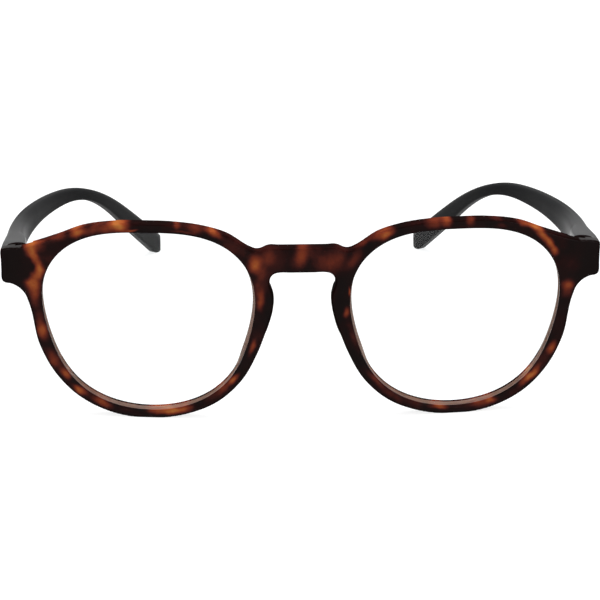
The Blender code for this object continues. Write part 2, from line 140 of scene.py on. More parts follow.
def seen_directly(tree):
    """1 for rays from the camera, in mirrors and through glass, and 0 for light on things."""
    path = add_node(tree, "LightPath").outputs
    seen = calculate(tree, "ADD", path["Is Camera Ray"], path["Is Glossy Ray"])
    return calculate(tree, "ADD", seen, path["Is Transmission Ray"], clamp=True)


print("node helpers ready")

# %% [markdown]
# ## White studio
# A pale floor catches the shadow. The world is white where the camera, a reflection or
# the lenses look at it, but gives the object only part of its light. That keeps the
# background white without bleaching the dark plastic.

# %% Floor and white surroundings
FLOOR_SIZE = 3.0
FLOOR_COLOUR = (0.3, 0.3, 0.3, 1)
FLOOR_GLOW = 0.8
WORLD_FILL = 0.45

floor = new_object("studio_floor", bpy.ops.mesh.primitive_plane_add, size=FLOOR_SIZE)
floor_paint, tree = new_material("studio_floor")
matte = add_node(tree, "BsdfDiffuse", {"Color": FLOOR_COLOUR})
glow = add_node(tree, "Emission",
                {"Strength": calculate(tree, "MULTIPLY", seen_directly(tree), FLOOR_GLOW)})
both = add_node(tree, "AddShader", {0: matte.outputs[0], 1: glow.outputs[0]})
add_node(tree, "OutputMaterial", {"Surface": both.outputs[0]})
floor.data.materials.append(floor_paint)

world = bpy.data.worlds.new("white_sweep")
bpy.context.scene.world = world
world.use_nodes = True
tree = world.node_tree
strength = calculate(tree, "MULTIPLY_ADD", seen_directly(tree), 1 - WORLD_FILL, WORLD_FILL)
tree.nodes["Background"].inputs["Color"].default_value = (1, 1, 1, 1)
tree.links.new(strength, tree.nodes["Background"].inputs["Strength"])
print("floor", FLOOR_SIZE, "m across, fill light", WORLD_FILL)

# %% [markdown]
# ## Soft lamps
# Three large, soft lamps do the modelling: a broad one overhead for the top edges, and a
# weaker one at each side of the camera, so that the front is lit evenly.

# %% Softboxes
LAMP_AIM = Vector((0, -30, 25)) * MM


def softbox(name, place, size, power):
    """Square lamp that looks at the glasses."""
    aim = (LAMP_AIM - Vector(place)).to_track_quat("-Z", "Y")
    lamp = new_object(name, bpy.ops.object.light_add, type="AREA", location=place, rotation=aim.to_euler())
    lamp.data.size = size
    lamp.data.energy = power
    print(name, "at", place)


softbox("lamp_top", place=(0.0, 0.1, 0.9), size=0.9, power=9)
softbox("lamp_left", place=(-0.8, -0.7, 0.5), size=0.6, power=5)
softbox("lamp_right", place=(0.8, -0.7, 0.5), size=0.6, power=5)

# %% [markdown]
# ## Shape of the front
# A moulded front starts as a flat outline. The lens opening is a circle pushed into a
# rounded "panto" shape by three small waves. The outer line follows it at a changing rim
# width, then runs round the end pieces and over the bridge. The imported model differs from
# it by less than a millimetre here and there.

# %% Sizes of the lenses and the front
LENS_WIDTH = 49.6 * MM
LENS_HEIGHT = 43.85 * MM
BRIDGE_WIDTH = 22 * MM
LENS_SHAPE_SHARES = (0.036, 0.043, -0.030)
FRONT_DEPTH = 3.6 * MM
WRAP_RADIUS = 350 * MM
EDGE_ROUND = 0.35 * MM
REST_FLAT = 0.12 * MM
RIM_WIDTH = 2.15 * MM
NASAL_RIM_SHARES = ((165, 2.04), (173, 1.93), (184, 1.61), (198, 1.37), (216, 1.22), (234, 1.09))
LOWER_RIM_SHARES = ((252, 0.98), (270, 1.0), (290, 1.08), (310, 1.19), (328, 1.37), (344, 1.5))
UPPER_RIM_SHARES = ((46, 1.46), (58, 1.13), (74, 1.0), (90, 0.98), (104, 0.97), (118, 1.02), (129, 1.24))
BRIDGE_BAR_HEIGHT = 6.05 * MM
BRIDGE_TOP_SHARE = 0.836
NOTCH_MM = ((11.9, -0.45), (11.0, -0.82), (10.3, -0.88), (9.5, -0.7), (8.4, -0.15), (7.3, 0.1), (6.0, 0.02))
NOSE_GAP = 15.2 * MM
NOSE_CORNER = 2.1 * MM
END_REACH = 6.175 * MM
END_HEIGHT = 8.2 * MM
END_TOP_SHARE = 0.764
SHOULDER = (64.4 * MM, 41.6 * MM)
END_CORNER = 0.9 * MM
END_TOP_CORNER = 0.35 * MM
END_FILLET = 5.4 * MM
OUTLINE_STEP = 0.4 * MM
WAVE_STEP = math.radians(0.5)

CENTRE_X = (LENS_WIDTH + BRIDGE_WIDTH) / 2
CENTRE_Z = RIM_WIDTH + LENS_HEIGHT / 2 - REST_FLAT
LENS_TEMPORAL = CENTRE_X + LENS_WIDTH / 2
TEMPORAL_RIM = LENS_TEMPORAL + RIM_WIDTH * LOWER_RIM_SHARES[-1][1]
HALF_WIDTH = TEMPORAL_RIM + END_REACH
END_TOP = CENTRE_Z + END_TOP_SHARE * LENS_HEIGHT / 2
END_BOTTOM = END_TOP - END_HEIGHT
BRIDGE_TOP = CENTRE_Z + BRIDGE_TOP_SHARE * LENS_HEIGHT / 2
FRONT_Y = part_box("front")[0].y
print("half width", round(HALF_WIDTH / MM, 2), "mm, front face at y", round(FRONT_Y / MM, 2), "mm")

# %% Smooth lines through a few given points
def smooth_table(table, places):
    """Read (place, value) pairs with a smooth curve through all of them."""
    knots, values = np.array(table, dtype=float).T
    slopes = np.gradient(values, knots)
    left = np.clip(np.searchsorted(knots, places) - 1, 0, len(knots) - 2)
    run = knots[left + 1] - knots[left]
    t = (places - knots[left]) / run
    start = (1 + 2 * t) * (1 - t) ** 2 * values[left] + t * (1 - t) ** 2 * run * slopes[left]
    end = t * t * (3 - 2 * t) * values[left + 1] - t * t * (1 - t) * run * slopes[left + 1]
    return start + end


def ease(low, high, value):
    """Rise smoothly from 0 at low to 1 at high."""
    t = np.clip((value - low) / (high - low), 0, 1)
    return t * t * (3 - 2 * t)


def arc_knots(centre, radius, start, end):
    """Four points along an arc between two angles in degrees."""
    turns = np.radians(np.linspace(start, end, 4))
    return [(centre[0] + radius * math.cos(turn), centre[1] + radius * math.sin(turn)) for turn in turns]


print("curve helpers ready")

# %% The lens opening
def unit_lens(angles):
    """Rounded shape of the lens before it takes its width and height."""
    egg, panto, square = LENS_SHAPE_SHARES
    reach = 1 + egg * np.sin(angles) + panto * np.sin(3 * angles) + square * np.cos(4 * angles)
    return np.stack([np.cos(angles) * reach, np.sin(angles) * reach], axis=1)


UNIT_RING = unit_lens(np.arange(0, 2 * math.pi, WAVE_STEP))
UNIT_LOW = UNIT_RING.min(axis=0)
UNIT_SPAN = UNIT_RING.max(axis=0) - UNIT_LOW


def lens_ring(angles):
    """Outline of the right lens opening as x and z, from its temple side upward."""
    size = np.array([LENS_WIDTH, LENS_HEIGHT])
    low = np.array([CENTRE_X, CENTRE_Z]) - size / 2
    return low + (unit_lens(angles) - UNIT_LOW) / UNIT_SPAN * size


def grown_ring(angles, grow):
    """The lens outline moved outward by grow, square to itself."""
    along = lens_ring(angles + WAVE_STEP) - lens_ring(angles - WAVE_STEP)
    outward = np.stack([along[:, 1], -along[:, 0]], axis=1)
    outward /= np.linalg.norm(outward, axis=1)[:, None]
    return lens_ring(angles) + np.reshape(grow, (-1, 1)) * outward


def rim_knots(shares):
    """Points on the outside of the rim, for pairs of degrees and width share."""
    degrees, width_shares = np.array(shares, dtype=float).T
    return grown_ring(np.radians(degrees), width_shares * RIM_WIDTH).tolist()


print("lens before its size:", UNIT_SPAN.round(3))

# %% The outer line
def end_piece_knots():
    """Points round the end piece: fillet under it, its two outer corners, and its shoulder."""
    low = END_BOTTOM + END_CORNER
    high = END_TOP - END_TOP_CORNER
    knots = arc_knots((TEMPORAL_RIM + END_FILLET, END_BOTTOM - END_FILLET), END_FILLET, 170, 105)
    knots += arc_knots((HALF_WIDTH - END_CORNER, low), END_CORNER, -80, 0)
    knots += [(HALF_WIDTH, (2 * low + high) / 3), (HALF_WIDTH, (low + 2 * high) / 3)]
    knots += arc_knots((HALF_WIDTH - END_TOP_CORNER, high), END_TOP_CORNER, 0, 80)
    return knots + [SHOULDER]


def bridge_top_knots():
    """Points from the small notch beside the rim to the middle of the bridge's top."""
    knots = [(across * MM, BRIDGE_TOP + up * MM) for across, up in NOTCH_MM]
    return knots + [(knots[-1][0] / 2, BRIDGE_TOP), (0, BRIDGE_TOP)]


def half_outline():
    """Right half of the front's outer outline, from under the bridge round to its top."""
    low = BRIDGE_TOP - BRIDGE_BAR_HEIGHT
    corner = (NOSE_GAP / 2 - NOSE_CORNER, low - NOSE_CORNER)
    knots = [(0, low), (corner[0] / 2, low)] + arc_knots(corner, NOSE_CORNER, 90, 0)
    knots += rim_knots(NASAL_RIM_SHARES + LOWER_RIM_SHARES)
    knots += end_piece_knots() + rim_knots(UPPER_RIM_SHARES) + bridge_top_knots()
    knots = np.array(knots)
    runs = np.linalg.norm(np.diff(knots, axis=0), axis=1)
    places = np.concatenate([[0], np.cumsum(runs)])
    stops = np.linspace(0, places[-1], math.ceil(places[-1] / OUTLINE_STEP) + 1)
    x = smooth_table(np.stack([places, knots[:, 0]], axis=1), stops)
    z = smooth_table(np.stack([places, knots[:, 1]], axis=1), stops)
    return np.stack([x, np.maximum(z, 0)], axis=1)


half = half_outline()
outer_loop = np.concatenate([half, half[-2:0:-1] * [-1, 1]])
print("outline points:", len(outer_loop))

# %% [markdown]
# ## Working by hand in code
# The next helpers do what the mouse does: pick one piece, add a modifier and apply it,
# tidy a mesh, shade it, or mirror it. An operator works on all that is selected, so each
# piece is picked alone first.

# %% Helpers for picking and finishing pieces
WELD = 0.002 * MM


def take(piece):
    """Select this piece alone."""
    bpy.ops.object.select_all(action="DESELECT")
    piece.select_set(True)
    bpy.context.view_layer.objects.active = piece


def finish_step(piece, kind, **settings):
    """Add a modifier and apply it at once."""
    take(piece)
    step = piece.modifiers.new(kind.lower(), kind)
    for name, value in settings.items():
        setattr(step, name, value)
    bpy.ops.object.modifier_apply(modifier=step.name)


def edit_all():
    """Open the picked piece in edit mode, with all of its mesh selected."""
    bpy.ops.object.mode_set(mode="EDIT")
    bpy.ops.mesh.select_all(action="SELECT")


def close_up(piece):
    """Merge points that meet, and turn every face outward."""
    take(piece)
    edit_all()
    bpy.ops.mesh.remove_doubles(threshold=WELD)
    bpy.ops.mesh.normals_make_consistent(inside=False)
    bpy.ops.object.mode_set(mode="OBJECT")


def smooth_shading(piece, degrees=35):
    """Shade a piece smooth, but keep edges sharper than this crisp."""
    take(piece)
    bpy.ops.object.shade_smooth_by_angle(angle=math.radians(degrees))


def rows_of(items, name):
    """One named vector of each point or face, as rows."""
    values = np.empty(3 * len(items), np.float32)
    items.foreach_get(name, values)
    return values.reshape(-1, 3).astype(float)


def points_of(piece):
    """A mesh's points as rows of x, y and z."""
    return rows_of(piece.data.vertices, "co")


def move_points(piece, places):
    """Put every point of a mesh at its new place."""
    piece.data.vertices.foreach_set("co", np.asarray(places, np.float32).ravel())
    piece.data.update()


def combine(piece, tools, operation):
    """Join each tool to a piece or cut it away, and throw it out."""
    for tool in tools:
        finish_step(piece, "BOOLEAN", operation=operation, object=tool, solver="MANIFOLD")
        bpy.data.objects.remove(tool)


def mirrored(piece, name):
    """A copy with its own mesh on the other side of the middle plane."""
    twin = piece.copy()
    twin.data = piece.data.copy()
    twin.name = name
    bpy.context.collection.objects.link(twin)
    twin.data.transform(Matrix.Scale(-1, 4, Vector((1, 0, 0))))
    twin.data.flip_normals()
    return twin


def both_sides(tool):
    """The tool and its mirror image."""
    return [mirrored(tool, tool.name + "_left"), tool]


print("helpers ready")

# %% [markdown]
# ## Front blank
# The flat outline is a filled curve with depth and a rounded edge, stood upright. The nose
# pads are flattened balls pushed into its back. A voxel remesh melts all of this into one
# even skin, as the moulding is one piece, and a little smoothing softens the join. Only
# then is the face wrapped, so that the fine skin follows the curve. The lens openings,
# with their crisp edges, are cut later.

# %% Blank with its nose pads
EDGE_STEPS = 3
PAD_THICKNESS = 3.2 * MM
PAD_DEPTH = 8.4 * MM
PAD_HEIGHT = 15 * MM
PAD_SPLAY = math.radians(20)
PAD_SLANT = math.radians(11)
PAD_REACH = 1.7 * MM
PAD_RISE = 1.5 * MM
PAD_SET_BACK = 3.2 * MM
SKIN_VOXEL = 0.26 * MM
PAD_SEGMENTS = 64

curve = bpy.data.curves.new("front_outline", "CURVE")
curve.dimensions = "2D"
curve.fill_mode = "BOTH"
curve.extrude = FRONT_DEPTH / 2 - EDGE_ROUND
curve.bevel_depth = EDGE_ROUND
curve.bevel_resolution = EDGE_STEPS
curve.offset = -EDGE_ROUND
spline = curve.splines.new("POLY")
spline.points.add(len(outer_loop) - 1)
spline.use_cyclic_u = True
for point, (x, z) in zip(spline.points, outer_loop):
    point.co = (x, z, 0, 1)
front = bpy.data.objects.new("front_moulding", curve)
bpy.context.collection.objects.link(front)
take(front)
bpy.ops.object.convert(target="MESH")
front = bpy.context.object
front.data.transform(Matrix.Translation((0, FRONT_DEPTH / 2, 0)) @ Matrix.Rotation(math.pi / 2, 4, "X"))
close_up(front)

for side in (1, -1):
    place = (side * (BRIDGE_WIDTH / 2 - PAD_REACH), PAD_SET_BACK + FRONT_DEPTH / 2, CENTRE_Z + PAD_RISE)
    pad = new_object("nose_pad", bpy.ops.mesh.primitive_uv_sphere_add,
                     segments=PAD_SEGMENTS, ring_count=PAD_SEGMENTS // 2, radius=0.5)
    lean = Matrix.Rotation(-side * PAD_SLANT, 4, "Y") @ Matrix.Rotation(-side * PAD_SPLAY, 4, "Z")
    size = Matrix.Diagonal((PAD_THICKNESS, PAD_DEPTH, PAD_HEIGHT, 1))
    pad.data.transform(Matrix.Translation(place) @ lean @ size)
    take(front)
    pad.select_set(True)
    bpy.ops.object.join()
finish_step(front, "REMESH", mode="VOXEL", voxel_size=SKIN_VOXEL)
print("skin faces:", len(front.data.polygons))

# %% Soften the skin, most where the pads meet the rims
SKIN_SMOOTHING = 3
NOSE_SMOOTHING = 30
NOSE_SIDE = (8.6 * MM, 10.4 * MM)
NOSE_FOOT = (9 * MM, 15 * MM)
NOSE_HEAD = (33 * MM, 36.5 * MM)

finish_step(front, "SMOOTH", factor=0.5, iterations=SKIN_SMOOTHING)
places = points_of(front)
softness = 1 - ease(*NOSE_SIDE, np.abs(places[:, 0]))
softness *= ease(*NOSE_FOOT, places[:, 2]) * (1 - ease(*NOSE_HEAD, places[:, 2]))
nose_side = front.vertex_groups.new(name="nose_side")
for index in np.flatnonzero(softness > 0):
    nose_side.add([int(index)], float(softness[index]), "REPLACE")
finish_step(front, "SMOOTH", factor=0.5, iterations=NOSE_SMOOTHING, vertex_group="nose_side")
front.vertex_groups.clear()
print("softer points:", int((softness > 0).sum()))

# %% Wrap the face
def wrap(x):
    """How far back the front's face lies at distance x from the middle."""
    return x * x / (2 * WRAP_RADIUS)


places = points_of(front)
places[:, 1] += wrap(places[:, 0]) + FRONT_Y
move_points(front, np.clip(places, *cad_box))
print("wrapped front reaches back to", round(places[:, 1].max() / MM, 2), "mm")

# %% [markdown]
# ## Lens openings, lenses and grooves
# Each opening is cut with a tool of the lens's outline, which flares a little at the face
# to break the edge, and leans in behind the lens beside the nose. A lens is a thin domed
# disc with a V-shaped edge, held in a slightly larger V-groove. Both come from one ball:
# its rings are pulled out to the lens outline, and its equator becomes the ridge.

# %% Lens shape
LENS_BITE = 0.6 * MM
LENS_EDGE = 1.3 * MM
LENS_DOME = 1.3 * MM
LENS_RING_SHARES = (0, 0.12, 0.24, 0.36, 0.48, 0.6, 0.72, 0.84, 0.93)
LENS_SEGMENTS = 200
OPENING_BEVEL = 0.04 * MM
LEAN_START = 2.9 * MM
NASAL_LEAN = 0.8 * MM
NASAL_TURNS = np.radians((138, 152, 196, 214))
OPENING_BEHIND = 0.35 * MM
TOOL_LEAD = 2 * MM
FIT_GAP = 0.3 * MM
EDGE_SLOPE = math.atan2(LENS_EDGE / 2, LENS_BITE)
GROOVE_REACH = LENS_BITE + FIT_GAP / math.sin(EDGE_SLOPE)


def lens_disc(name, inner, half_edge, reach, dome):
    """Ball flattened to the right lens outline, with a V-shaped edge from inner out to reach."""
    rings = len(LENS_RING_SHARES) + 1
    disc = new_object(name, bpy.ops.mesh.primitive_uv_sphere_add,
                      segments=LENS_SEGMENTS, ring_count=2 * rings, radius=1)
    places = points_of(disc)
    turns = np.arctan2(places[:, 1], places[:, 0])
    ring = np.rint(2 * rings * np.arccos(np.clip(places[:, 2], -1, 1)) / math.pi).astype(int)
    from_pole = np.minimum(ring, 2 * rings - ring)
    ridge = from_pole == rings
    share = np.array(LENS_RING_SHARES + (1, 1))[from_pole]
    centre = np.array([CENTRE_X, CENTRE_Z])
    across = centre + share[:, None] * (grown_ring(turns, np.where(ridge, reach, inner)) - centre)
    side = np.where(ridge, 0, np.copysign(half_edge, -places[:, 2]))
    depth = wrap(across[:, 0]) + FRONT_Y + FRONT_DEPTH / 2 + side - dome * (1 - share ** 2)
    move_points(disc, np.stack([across[:, 0], depth, across[:, 1]], axis=1))
    close_up(disc)
    return disc


print("groove reaches", round(GROOVE_REACH / MM, 2), "mm beyond the opening")

# %% Cut the openings
def nasal_share(across):
    """1 beside the nose, where the root of the pad thickens the rim, and 0 elsewhere."""
    turns = np.arctan2(across[:, 1] - CENTRE_Z, np.abs(across[:, 0]) - CENTRE_X) % (2 * math.pi)
    return ease(*NASAL_TURNS[:2], turns) * (1 - ease(*NASAL_TURNS[2:], turns))


def opening_tool():
    """Plug of the right lens's outline, flared at the face and leaning in beside the nose."""
    plug = new_object("opening_tool", bpy.ops.mesh.primitive_cylinder_add,
                      vertices=LENS_SEGMENTS, radius=1, depth=1)
    for height in (-1 / 6, 1 / 6):
        edit_all()
        bpy.ops.mesh.bisect(plane_co=(0, 0, height), plane_no=(0, 0, 1))
    bpy.ops.object.mode_set(mode="OBJECT")
    places = points_of(plug)
    turns = np.arctan2(places[:, 1], places[:, 0])
    level = np.rint(3 * places[:, 2] + 1.5).astype(int)
    depth = np.array([FRONT_DEPTH + OPENING_BEHIND, LEAN_START, OPENING_BEVEL, -TOOL_LEAD])[level]
    grow = np.array([0, 0, 0, OPENING_BEVEL + TOOL_LEAD])[level]
    lean = np.array([NASAL_LEAN, 0, 0, 0])[level]
    across = grown_ring(turns, grow - lean * nasal_share(lens_ring(turns)))
    move_points(plug, np.stack([across[:, 0], wrap(across[:, 0]) + FRONT_Y + depth, across[:, 1]], axis=1))
    close_up(plug)
    return plug


plug = opening_tool()
combine(front, both_sides(plug), "DIFFERENCE")
print("front with openings:", len(front.data.polygons), "faces")

# %% Make both lenses and cut both grooves
lens_right = lens_disc("clear_disc_right", 0, LENS_EDGE / 2, LENS_BITE, LENS_DOME)
smooth_shading(lens_right, degrees=30)
lens_left = mirrored(lens_right, "clear_disc_left")
half_edge = (GROOVE_REACH + LENS_BITE) * math.tan(EDGE_SLOPE)
groove = lens_disc("groove_tool", -LENS_BITE, half_edge, GROOVE_REACH, 0)
combine(front, both_sides(groove), "DIFFERENCE")
print("lens:", len(lens_right.data.polygons), "faces; grooved front:", len(front.data.polygons), "faces")

# %% [markdown]
# ## Hinge seats
# Each end piece is thinned behind, where the temple's block closes against it, and carries
# the upper and lower knuckle of the hinge. Boxes and turned shapes are added and cut away
# with Booleans, as a workshop would mill them.

# %% Hinge sizes and turned tools
HINGE_INSET = 3.7 * MM
HINGE_BACK = 3.7 * MM
SEAM_BACK = 2.8 * MM
RELIEF_BACK = 1.7 * MM
RELIEF_WALL = 0.8 * MM
KNUCKLE_RADIUS = 2.3 * MM
KNUCKLE_HEIGHT = 2.37 * MM
HINGE_GAP = 0.2 * MM
SCREW_RADIUS = 0.6 * MM
SCREW_HEAD_RADIUS = 1 * MM
SCREW_HEAD_HEIGHT = 0.6 * MM
SCREW_SINK = 0.35 * MM
SCREW_SLOT = 0.3 * MM
INSERT_RADIUS = 1.25 * MM
INSERT_LIP = 0.5 * MM
OVERRUN = 4 * MM
ROUND_STEPS = 64
HINGE_X = HALF_WIDTH - HINGE_INSET
HINGE_Y = wrap(HINGE_X) + HINGE_BACK + FRONT_Y
SEAM_Y = wrap(HINGE_X) + SEAM_BACK + FRONT_Y
RELIEF_Y = wrap(HINGE_X) + RELIEF_BACK + FRONT_Y
BORE_RADIUS = SCREW_RADIUS + HINGE_GAP


def turned(name, profile):
    """Spin (radius, height) pairs once round the right hinge's axis and close the solid."""
    mesh = bpy.data.meshes.new(name)
    rim = [(HINGE_X + radius, HINGE_Y, height) for radius, height in profile]
    mesh.from_pydata(rim, [(k, k + 1) for k in range(len(rim) - 1)], [])
    piece = bpy.data.objects.new(name, mesh)
    bpy.context.collection.objects.link(piece)
    take(piece)
    edit_all()
    bpy.ops.mesh.spin(steps=ROUND_STEPS, angle=2 * math.pi, center=(HINGE_X, HINGE_Y, 0), axis=(0, 0, 1))
    bpy.ops.object.mode_set(mode="OBJECT")
    close_up(piece)
    return piece


def rod(name, radius, low, high):
    """Round bar on the right hinge's axis."""
    return turned(name, [(0, high), (radius, high), (radius, low), (0, low)])


def block(name, low, high):
    """Box between two opposite corners."""
    piece = new_object(name, bpy.ops.mesh.primitive_cube_add, size=1)
    low, high = Vector(low), Vector(high)
    piece.data.transform(Matrix.Translation((low + high) / 2) @ Matrix.Diagonal((*(high - low), 1)))
    return piece


print("hinge axis at", round(HINGE_X / MM, 2), round(HINGE_Y / MM, 2), "mm")

# %% Cut the hinge seats on both sides
low = END_BOTTOM - OVERRUN
high = BRIDGE_TOP + OVERRUN
behind = SEAM_Y + FRONT_DEPTH + OVERRUN
wall = LENS_TEMPORAL + GROOVE_REACH + RELIEF_WALL
seam = block("seam_tool", (HINGE_X, SEAM_Y, low), (HALF_WIDTH + OVERRUN, behind, high))
relief = block("relief_tool", (wall, RELIEF_Y, low), (HINGE_X + HINGE_GAP, behind, high))
combine(front, both_sides(seam), "DIFFERENCE")
combine(front, both_sides(relief), "DIFFERENCE")
barrel = rod("barrel_tool", KNUCKLE_RADIUS, END_BOTTOM, END_TOP)
combine(front, both_sides(barrel), "UNION")

slot_low = END_BOTTOM + KNUCKLE_HEIGHT
slot_high = END_TOP - KNUCKLE_HEIGHT
recess_low = END_TOP - SCREW_SINK - SCREW_HEAD_HEIGHT - HINGE_GAP
pocket = INSERT_RADIUS + HINGE_GAP
tongue_room = KNUCKLE_RADIUS + FIT_GAP
recess = SCREW_HEAD_RADIUS + HINGE_GAP
bore = turned("bore_tool", [
    (0, END_TOP + OVERRUN), (recess, END_TOP + OVERRUN), (recess, recess_low), (BORE_RADIUS, recess_low),
    (BORE_RADIUS, slot_high), (tongue_room, slot_high), (tongue_room, slot_low), (BORE_RADIUS, slot_low),
    (BORE_RADIUS, slot_low - INSERT_LIP), (pocket, slot_low - INSERT_LIP), (pocket, low), (0, low)])
combine(front, both_sides(bore), "DIFFERENCE")
close_up(front)
smooth_shading(front)
print("finished front:", len(front.data.polygons), "faces")

# %% [markdown]
# ## Marks on the front for its finish
# Where a point lies decides how the plastic looks there. The stains run over the face and
# the top. The lower outer edge has fewer of them, as painted shade, and the core is dark on
# the back and on the nose pads. The lens walls are polished and painted lighter, as light
# that comes through them; the face is satin, its edges are duller, and the cut top of each
# end piece is bright. The mesh stores this as three marks, which the material reads. A lens
# wall's is how many millimetres back its painted light goes.

# %% Measure the face, the gloss and the lens walls
EDGE_FADE = 0.55 * MM
PAINTED_SHADE_TOP = (30 * MM, 37 * MM)
DEPTH_FADE = (3.3 * MM, 4.4 * MM)
OPENING_POINTS = 960
WALL_REACH = 1.7 * MM
WALL_FACING = 0.4
WALL_UPWARD = 0.45
WALL_START = 0.4 * MM
WALL_END = 2.82 * MM
END_TOP_START = 64.9 * MM
END_TOP_FACING = 0.8
FACE_GLOSS = 0.1
CUT_GLOSS = 0.33
KNUCKLE_GLOSS = 0.3
FACE_TURN = (0.85, 0.98)
TOP_GLOSS = 0.02


def distance_to(loop, spots):
    """How far each x and z lies from the nearest point of a loop."""
    tree = KDTree(len(loop))
    for index, (x, z) in enumerate(loop):
        tree.insert((x, 0, z), index)
    tree.balance()
    return np.array([tree.find((x, 0, z))[2] for x, z in spots])


def mark(piece, name, values, domain="POINT"):
    """Store one number for each point or face of a mesh."""
    layer = piece.data.attributes.new(name, "FLOAT", domain)
    layer.data.foreach_set("value", np.asarray(values, np.float32))


places = points_of(front)
facing = rows_of(front.data.vertices, "normal")
spots = np.stack([np.abs(places[:, 0]), places[:, 2]], axis=1)
behind_face = places[:, 1] - FRONT_Y - wrap(places[:, 0])
# Painted shade: the lower outer edge, below the fade height, is darkened by taking its stains away.
painted_shade_edge = (1 - ease(*PAINTED_SHADE_TOP, places[:, 2])) * (1 - ease(0, EDGE_FADE, distance_to(half, spots)))
mark(front, "stained_unshaded", (1 - painted_shade_edge) * (1 - ease(*DEPTH_FADE, behind_face)))
on_end_top = (spots[:, 0] > END_TOP_START) & (spots[:, 1] > END_TOP - EDGE_FADE)
on_end_top &= facing[:, 2] > END_TOP_FACING
satin = TOP_GLOSS + (FACE_GLOSS - TOP_GLOSS) * ease(*FACE_TURN, np.abs(facing[:, 1]))
cut = np.where(behind_face < SEAM_BACK - HINGE_GAP, CUT_GLOSS, KNUCKLE_GLOSS)
mark(front, "gloss", np.where(on_end_top, cut, satin))

middles = rows_of(front.data.polygons, "center")
facing = rows_of(front.data.polygons, "normal")
spots = np.stack([np.abs(middles[:, 0]), middles[:, 2]], axis=1)
fine_opening = lens_ring(np.linspace(0, 2 * math.pi, OPENING_POINTS))
inward = np.array([CENTRE_X, CENTRE_Z]) - spots
inward /= np.linalg.norm(inward, axis=1)[:, None]
looks_in = inward[:, 0] * facing[:, 0] * np.sign(middles[:, 0]) + inward[:, 1] * facing[:, 2]
on_wall = (looks_in > WALL_FACING) & (distance_to(fine_opening, spots) < WALL_REACH)
# Walls that face up carry the painted light only to WALL_END, so a dark line is left behind it.
light_to = np.where(facing[:, 2] > WALL_UPWARD, WALL_END, FRONT_DEPTH + OPENING_BEHIND)
mark(front, "light_to", on_wall * light_to / MM, "FACE")
print("faces on the lens walls:", int(on_wall.sum()))

# %% [markdown]
# ## Temples
# A temple is a bar that leaves the hinge as a tall block, thins to a shaft, bends down
# behind the ear and ends in a rounded paddle. A ring is extruded many times into a
# straight bar, and every ring is then carried to its place on the bent path, with its
# width and height read from short tables.

# %% Temple sizes
TEMPLE_LENGTH = 140 * MM
TEMPLE_THICKNESS = 5.3 * MM
TEMPLE_SLOPE = math.radians(5.7)
HEADING_SHARES = ((0, 0), (0.05, -1.5), (0.12, -5.0), (0.25, 0),
                  (0.5, 12), (0.72, 30.5), (0.84, 34.5), (1, 35.5))
THICKNESS_SHARES = ((0, 1), (0.06, 1.04), (0.11, 0.98), (0.16, 0.84), (0.23, 0.7), (0.42, 0.62), (1, 0.6))
HEIGHT_SHARES = ((0, 1), (0.04, 1), (0.1, 0.92), (0.25, 0.85),
                 (0.5, 0.58), (0.72, 0.39), (0.9, 0.64), (1, 0.68))
EAR_BEND_SHARES = (0.57, 0.86)
EAR_DROP_LIMIT = math.radians(80)
EAR_DROP_TRIES = 30
TIP_ROUND = 3 * MM
TIP_TURN = math.radians(82)
TIP_THICKNESS_SHARE = 0.3
BLOCK_SQUARENESS = 12
SECTION_SQUARENESS = 5
INNER_TOP_SQUARENESS = 2.4
OUTER_TOP_SQUARENESS = 4.2
SOFTER_SHARES = (0.03, 0.16)
SECTION_FLAT_SHARE = 0.992
SHAFT_STATIONS = 120
TIP_STATIONS = 12
SECTION_POINTS = 64


def temple_path(ear_drop):
    """For each station of the right temple: its middle, its sideways and upward reach."""
    shaft = np.linspace(0, TEMPLE_LENGTH - TIP_ROUND, SHAFT_STATIONS)
    turns = np.linspace(0, TIP_TURN, TIP_STATIONS + 1)[1:]
    along = np.concatenate([shaft, TEMPLE_LENGTH - TIP_ROUND + TIP_ROUND * np.sin(turns)])
    share = along / TEMPLE_LENGTH
    heading = np.radians(smooth_table(HEADING_SHARES, share))
    slope = TEMPLE_SLOPE + (ear_drop - TEMPLE_SLOPE) * ease(*EAR_BEND_SHARES, share)
    level = np.cos(slope)
    way = np.stack([-np.sin(heading) * level, np.cos(heading) * level, -np.sin(slope)], axis=1)
    middle = np.cumsum((way + np.roll(way, 1, axis=0)) / 2 * np.diff(along, prepend=0)[:, None], axis=0)
    lead = OVERRUN / 2
    middle += [HALF_WIDTH - TEMPLE_THICKNESS / 2 + lead * math.tan(heading[0]),
               SEAM_Y - lead, (END_TOP + END_BOTTOM) / 2 + lead * math.tan(TEMPLE_SLOPE)]
    across = np.stack([np.cos(heading), np.sin(heading), np.zeros(len(share))], axis=1)
    tip = np.clip((along - TEMPLE_LENGTH + TIP_ROUND) / TIP_ROUND, 0, 1)
    rounding = np.sqrt(1 - tip * tip)
    thinning = TIP_THICKNESS_SHARE + (1 - TIP_THICKNESS_SHARE) * rounding
    width = TEMPLE_THICKNESS / 2 * smooth_table(THICKNESS_SHARES, share) * thinning
    height = END_HEIGHT / 2 * smooth_table(HEIGHT_SHARES, share) * rounding
    return middle, across * width[:, None], np.cross(across, way) * height[:, None]


print("temple", round(TEMPLE_LENGTH / MM), "mm along its bend")

# %% Extrude the bar and carry it to its path
temple_right = new_object("temple_bar_right", bpy.ops.mesh.primitive_circle_add, vertices=SECTION_POINTS,
                          radius=1, fill_type="NGON", rotation=(math.pi / 2, 0, 0))
bpy.ops.object.transform_apply(location=False, rotation=True, scale=True)
edit_all()
for _ in range(SHAFT_STATIONS + TIP_STATIONS - 1):
    bpy.ops.mesh.extrude_region_move(TRANSFORM_OT_translate={"value": (0, 1, 0)})
bpy.ops.object.mode_set(mode="OBJECT")

